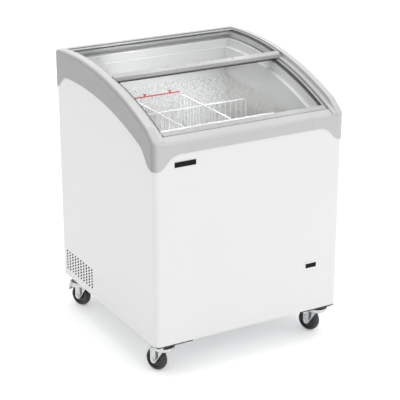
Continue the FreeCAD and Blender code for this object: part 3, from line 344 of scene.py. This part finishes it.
def make_materials():
    """Every material, under the name of its slot in the frame."""
    black = ((0.012, 0.012, 0.013), (0.026, 0.026, 0.028))
    made = {
        "cabinet_white": cabinet_paint(),
        "collar_plastic": collar_plastic(),
        "tub_aluminium": stucco_aluminium(),
        "throat_plastic": throat_plastic(),
        "lid_glass": lid_glass(),
        "foam": foam_material(),
        "condenser_metal": condenser_paint(),
        "fork_zinc": zinc("fork_zinc", (0.50, 0.51, 0.52), (0.66, 0.67, 0.68)),
        # painted shade for the slope beside each fork leg's rib
        "fork_bend_shade": zinc("fork_bend_shade", (0.10, 0.102, 0.105), (0.20, 0.203, 0.207)),
        "bolt_zinc": zinc("bolt_zinc", (0.50, 0.51, 0.52), (0.70, 0.71, 0.72), 0.3),
        "pedal_steel": zinc("pedal_steel", (0.42, 0.43, 0.44), (0.58, 0.59, 0.60), 0.34),
        "galvanised": zinc("galvanised", (0.46, 0.48, 0.49), (0.62, 0.64, 0.65), 0.42),
        "bracket_metal": zinc("bracket_metal", (0.42, 0.44, 0.45), (0.58, 0.60, 0.61), 0.4),
    }
    plain = {
        "bristles": ((0.05, 0.05, 0.052), (0.12, 0.12, 0.122), 0.6),
        "lid_frame": ((0.39, 0.393, 0.396), (0.425, 0.428, 0.431), 0.3),
        "divider_wire": ((0.88, 0.887, 0.89), (0.91, 0.917, 0.92), 0.32),
        "label_red": ((0.50, 0.014, 0.028), (0.58, 0.022, 0.04), 0.4),
        "drain_rubber": ((0.50, 0.50, 0.50), (0.58, 0.58, 0.58), 0.6),
        "grille_white": ((0.76, 0.765, 0.77), (0.80, 0.803, 0.806), 0.42),
        "compressor_black": (*black, 0.36),
        "feet_rubber": (*black, 0.7),
        "relay_plastic": ((0.03, 0.03, 0.032), (0.05, 0.05, 0.052), 0.5),
        "motor_metal": ((0.05, 0.052, 0.055), (0.08, 0.082, 0.085), 0.4),
        "blade_plastic": (*black, 0.45),
        "knob_plastic": (*black, 0.42),
        "gland_plastic": (*black, 0.5),
        "bezel_plastic": ((0.74, 0.735, 0.72), (0.80, 0.795, 0.78), 0.35),
        "display_black": ((0.004, 0.004, 0.005), (0.008, 0.008, 0.01), 0.12),
        "badge_black": ((0.004, 0.004, 0.0045), (0.008, 0.008, 0.009), 0.5),
        "plate_black": (*black, 0.4),
        "wheel_black": ((0.014, 0.014, 0.016), (0.03, 0.03, 0.033), 0.46),
        "coil_copper": ((0.50, 0.21, 0.11), (0.66, 0.33, 0.19), 0.34),
    }
    for name, (dark, light, rough) in plain.items():
        made[name] = grained(name, dark, light, rough)
    made["coil_copper"].node_tree.nodes["Principled BSDF"].inputs["Metallic"].default_value = 0.9
    for name in ("badge_black", "display_black"):
        shader = made[name].node_tree.nodes["Principled BSDF"]
        shader.inputs["Specular IOR Level"].default_value = 0.12
    return made


def dress_cad(materials):
    """Gives each CAD node the material that its slot asks for."""
    for entry in frame["record"]["subparts"]:
        node = frame["nodes"][entry["node"]]
        for slot in node.material_slots:
            slot.material = materials[entry["material_slot"]]


# ------------------------------------------------------------------ pieces

SIDES = (("left", -1), ("right", 1))
RUBBER = "feet_rubber"
ARC_Y, ARC_Z = 0.208, -0.3025  # the axis that the lids' arc is drawn about


def on_arc(x, y, radius):
    """A point at this distance from the axis of the lids' arc."""
    return Vector((x, y, ARC_Z + math.sqrt(radius * radius - (y - ARC_Y) ** 2)))


def finished(name, body, slot, verts, faces, materials, look=None):
    """A new piece that rides on a body; look names another material than the slot's own."""
    mesh = bpy.data.meshes.new(name)
    mesh.from_pydata([tuple(v) for v in verts], [], faces)
    mesh.materials.append(materials[look or slot])
    work = bmesh.new()
    work.from_mesh(mesh)
    bmesh.ops.recalc_face_normals(work, faces=work.faces)
    work.to_mesh(mesh)
    work.free()
    piece = bpy.data.objects.new(name, mesh)
    bpy.context.scene.collection.objects.link(piece)
    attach(piece, body)
    return piece


def arc_strip(name, body, slot, x, y, radii, materials, ease=0.0004, steps=28, look=None):
    """A bar that follows the lids' arc, with small chamfers along its edges."""
    (x0, x1), (y0, y1), (r0, r1) = x, y, radii
    ring = [
        (x0, r0 + ease), (x0, r1 - ease), (x0 + ease, r1), (x1 - ease, r1),
        (x1, r1 - ease), (x1, r0 + ease), (x1 - ease, r0), (x0 + ease, r0),
    ]
    verts, faces = [], []
    count = len(ring)
    for step in range(steps + 1):
        along = y0 + (y1 - y0) * step / steps
        verts += [on_arc(px, along, radius) for px, radius in ring]
    for step in range(steps):
        for n in range(count):
            a, b = step * count + n, step * count + (n + 1) % count
            faces.append((a, b, b + count, a + count))
    faces.append(tuple(range(count)))
    faces.append(tuple(range(steps * count, steps * count + count)))
    return finished(name, body, slot, verts, faces, materials, look)


BLOCK_FACES = ((0, 1, 2, 3), (4, 5, 6, 7), (0, 1, 5, 4), (1, 2, 6, 5), (2, 3, 7, 6), (3, 0, 4, 7))


def brush(name, body, x, y, radii, materials, pitch=0.0045):
    """A row of tufts half a pitch wide on the lids' arc, along the longer of x and y."""
    along_y = y[1] - y[0] > x[1] - x[0]
    start, end = y if along_y else x
    verts, faces = [], []
    for n in range(int((end - start) / pitch)):
        span = (start + n * pitch, start + (n + 0.5) * pitch)
        (x0, x1), (y0, y1) = (x, span) if along_y else (span, y)
        base = len(verts)
        for radius in radii:
            verts += [on_arc(px, py, radius) for px, py in ((x0, y0), (x1, y0), (x1, y1), (x0, y1))]
        faces += [tuple(base + corner for corner in face) for face in BLOCK_FACES]
    return finished(name, body, RUBBER, verts, faces, materials, look="bristles")


def sided(sign, near, far):
    """The x range between two distances from the middle, on one side of it."""
    return tuple(sorted((sign * near, sign * far)))


BAR_X = (-0.2955, 0.2955)  # the width of the strips under the bar between the lids
FRONT_GLASS_Y = (-0.289, -0.003)  # the front lid's glass, between its two cross rails
REAR_GLASS_Y = (0.0035, 0.2835)  # the rear lid's glass, between its two cross rails


def cross_seals(materials):
    """The dark strips from left to right: at the back, at the front and under the bar."""
    arc_strip("gasket_rear", "cabinet", RUBBER, (-0.3085, 0.3085), (0.3064, 0.3083),
              (1.1995, 1.2085), materials, steps=3)
    arc_strip("front_lid_front_seal", "front_lid", RUBBER, (-0.2945, 0.2945),
              (-0.3133, -0.3121), (1.1815, 1.189), materials, steps=3)
    arc_strip("rear_lid_wiper", "rear_lid", RUBBER, BAR_X, (-0.0240, -0.0221),
              (1.1925, 1.1944), materials, steps=3, ease=0.0003)
    brush("rear_lid_wiper_brush", "rear_lid", BAR_X, (-0.0236, -0.0221),
          (1.1942, 1.1974), materials, pitch=0.0075)


def edge_seals(materials):
    """The seals, brushes and glazing beads along the left and right edges of both lids."""
    for side, sign in SIDES:
        arc_strip(f"slide_tape_{side}", "cabinet", RUBBER, sided(sign, 0.2900, 0.2968),
                  (-0.3125, 0.3), (1.18055, 1.1808), materials, ease=0.0001)
        arc_strip(f"front_lid_edge_seal_{side}", "front_lid", RUBBER,
                  sided(sign, 0.2946, 0.2964), (-0.312, 0.015), (1.182, 1.1905), materials)
        arc_strip(f"front_lid_brush_back_{side}", "front_lid", RUBBER,
                  sided(sign, 0.2861, 0.2874), FRONT_GLASS_Y, (1.1811, 1.1858), materials)
        brush(f"front_lid_brush_{side}", "front_lid", sided(sign, 0.2822, 0.2862),
              FRONT_GLASS_Y, (1.1822, 1.1852), materials)
        arc_strip(f"front_lid_bead_{side}", "front_lid", RUBBER, sided(sign, 0.2838, 0.2877),
                  (-0.290, -0.003), (1.1899, 1.1912), materials)
        arc_strip(f"rear_lid_edge_seal_{side}", "rear_lid", RUBBER,
                  sided(sign, 0.3091, 0.3106), (-0.022, 0.306), (1.2, 1.207), materials)
        arc_strip(f"rear_lid_brush_back_{side}", "rear_lid", RUBBER,
                  sided(sign, 0.3018, 0.3029), REAR_GLASS_Y, (1.1996, 1.2014), materials)
        brush(f"rear_lid_brush_{side}", "rear_lid", sided(sign, 0.2975, 0.3018),
              REAR_GLASS_Y, (1.1997, 1.2012), materials)
        arc_strip(f"rear_lid_bead_{side}", "rear_lid", RUBBER, sided(sign, 0.3005, 0.3032),
                  REAR_GLASS_Y, (1.2054, 1.2062), materials, ease=0.0002, look="bristles")


CASTOR_TURN = math.radians(21.7)  # how far every castor is turned at rest
CASTOR_X, CASTOR_FRONT_Y, CASTOR_REAR_Y = 0.287, -0.3, 0.255
AXLE_Y, AXLE_Z = 0.03, 0.0375  # from a castor's pivot, and above the floor
LEG_OUTSIDE = 0.0185  # from the middle of a fork to the outer face of its legs
CORNERS = (
    ("front_left", -CASTOR_X, CASTOR_FRONT_Y),
    ("front_right", CASTOR_X, CASTOR_FRONT_Y),
    ("rear_left", -CASTOR_X, CASTOR_REAR_Y),
    ("rear_right", CASTOR_X, CASTOR_REAR_Y),
)


def at_castor(pivot_x, pivot_y, x, y, z):
    """A point in a castor's own frame, as it stands at rest."""
    cos, sin = math.cos(CASTOR_TURN), math.sin(CASTOR_TURN)
    return Vector((pivot_x + x * cos - y * sin, pivot_y + x * sin + y * cos, z))


def stacked(rings):
    """Faces that join equal rings of points one to the next, with a cap at each end."""
    count = len(rings[0])
    faces = []
    for level in range(len(rings) - 1):
        for n in range(count):
            a, b = level * count + n, level * count + (n + 1) % count
            faces.append((a, b, b + count, a + count))
    last = (len(rings) - 1) * count
    return faces + [tuple(range(last, last + count)), tuple(range(count))]


SUNK = 0.0002  # how far a piece reaches into what it lies on
RIB_HALF_WIDTH, RIB_TOP, RIB_TURNS = 0.011, 0.0795, 18
# the rib's rings, from the leg outwards: how far each is drawn in, and how far it stands out
RIB_RINGS = ((0.0, -SUNK), (0.0, 0.0009), (0.0004, 0.0014), (0.0011, 0.0017))
# the corners of the slope beside the rib, coloured dark as painted shade: y, z and how far each
# stands out
BEND_CORNERS = (
    (0.0195, 0.0385, 0.0015),
    (0.0195, 0.0792, 0.0015),
    (0.0090, 0.0792, 0.0003),
    (0.0090, 0.0540, 0.0003),
)


def rib_outline(inset):
    """The y and z of a strip that comes straight down and ends in a half circle at the axle."""
    radius = RIB_HALF_WIDTH - inset
    outline = [(AXLE_Y + radius, RIB_TOP - inset), (AXLE_Y - radius, RIB_TOP - inset)]
    for n in range(RIB_TURNS + 1):
        angle = math.pi * (1 + n / RIB_TURNS)
        outline.append((AXLE_Y + radius * math.cos(angle), AXLE_Z + radius * math.sin(angle)))
    return outline


def leg_rib(corner, pivot_x, pivot_y, side, sign, materials):
    rings = []
    for inset, proud in RIB_RINGS:
        x = sign * (LEG_OUTSIDE + proud)
        rings.append([at_castor(pivot_x, pivot_y, x, y, z) for y, z in rib_outline(inset)])
    verts = [point for ring in rings for point in ring]
    finished(f"leg_rib_{corner}_{side}", f"castor_{corner}", "fork_zinc", verts,
             stacked(rings), materials)


def leg_bend_shade(corner, pivot_x, pivot_y, side, sign, materials):
    inner, outer = [], []
    for y, z, proud in BEND_CORNERS:
        inner.append(at_castor(pivot_x, pivot_y, sign * (LEG_OUTSIDE - SUNK), y, z))
        outer.append(at_castor(pivot_x, pivot_y, sign * (LEG_OUTSIDE + proud), y, z))
    # painted shade: the slope is drawn in a dark zinc
    finished(f"leg_bend_shade_{corner}_{side}", f"castor_{corner}", "fork_zinc", inner + outer,
             stacked([inner, outer]), materials, look="fork_bend_shade")


def leg_ribs(materials):
    """The pressed strip down the outside of each fork leg, and the slope beside it in a dark
    painted shade.
    """
    for corner, pivot_x, pivot_y in CORNERS:
        for side, sign in SIDES:
            leg_rib(corner, pivot_x, pivot_y, side, sign, materials)
            leg_bend_shade(corner, pivot_x, pivot_y, side, sign, materials)


SCREW_INSET, SCREW_TURNS = 0.012, 16
# a screw's rings, from the sheet to its socket: radius, and how far each stands out
SCREW_RINGS = (
    (0.0036, -SUNK),
    (0.0034, 0.0007),
    (0.0025, 0.0015),
    (0.0013, 0.0017),
    (0.0009, 0.0008),
)


def screw_ring(x, y, z, radius):
    """Points of a circle that faces the back."""
    angles = [math.tau * n / SCREW_TURNS for n in range(SCREW_TURNS)]
    return [Vector((x + radius * math.cos(a), y, z + radius * math.sin(a))) for a in angles]


def rear_screws(materials):
    """Pan-head screws with a socket, along the grille's edges at the back."""
    low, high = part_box("rear_grille")
    verts, faces = [], []
    for x in (low[0] + SCREW_INSET, 0.0, high[0] - SCREW_INSET):
        for z in (low[2] + SCREW_INSET, high[2] - SCREW_INSET):
            base = len(verts)
            rings = [screw_ring(x, high[1] + proud, z, radius) for radius, proud in SCREW_RINGS]
            verts += [point for ring in rings for point in ring]
            faces += [tuple(base + corner for corner in face) for face in stacked(rings)]
    finished("rear_screws", "cabinet", "bolt_zinc", verts, faces, materials)


def lid_stops(materials):
    """Small black buffers on the ends of the bar between the lids."""
    for side, sign in SIDES:
        arc_strip(f"lid_stop_{side}", "rear_lid", RUBBER, sided(sign, 0.3032, 0.3086),
                  (-0.0216, -0.0158), (1.2078, 1.2096), materials, steps=2)


FLOOR_REACH = 14.0


def add_floor():
    """A plain pale floor, which glows a little so that it meets the white studio unseen."""
    reach = FLOOR_REACH
    corners = [(-reach, -reach, 0), (reach, -reach, 0), (reach, reach, 0), (-reach, reach, 0)]
    mesh = bpy.data.meshes.new("floor")
    mesh.from_pydata(corners, [], [(0, 1, 2, 3)])
    floor = bpy.data.objects.new("floor", mesh)
    bpy.context.scene.collection.objects.link(floor)
    look = Surface("floor").set(Roughness=0.9, Specular_IOR_Level=0.1, Emission_Strength=0.25)
    look.colour(look.mix(look.noise(1.2, 3.0), (0.93, 0.93, 0.93), (0.95, 0.95, 0.95)))
    mesh.materials.append(look.made)


MATERIALS = make_materials()
add_camera()
add_world()
add_lights()
dress_cad(MATERIALS)
cross_seals(MATERIALS)
edge_seals(MATERIALS)
leg_ribs(MATERIALS)
rear_screws(MATERIALS)
lid_stops(MATERIALS)
add_floor()
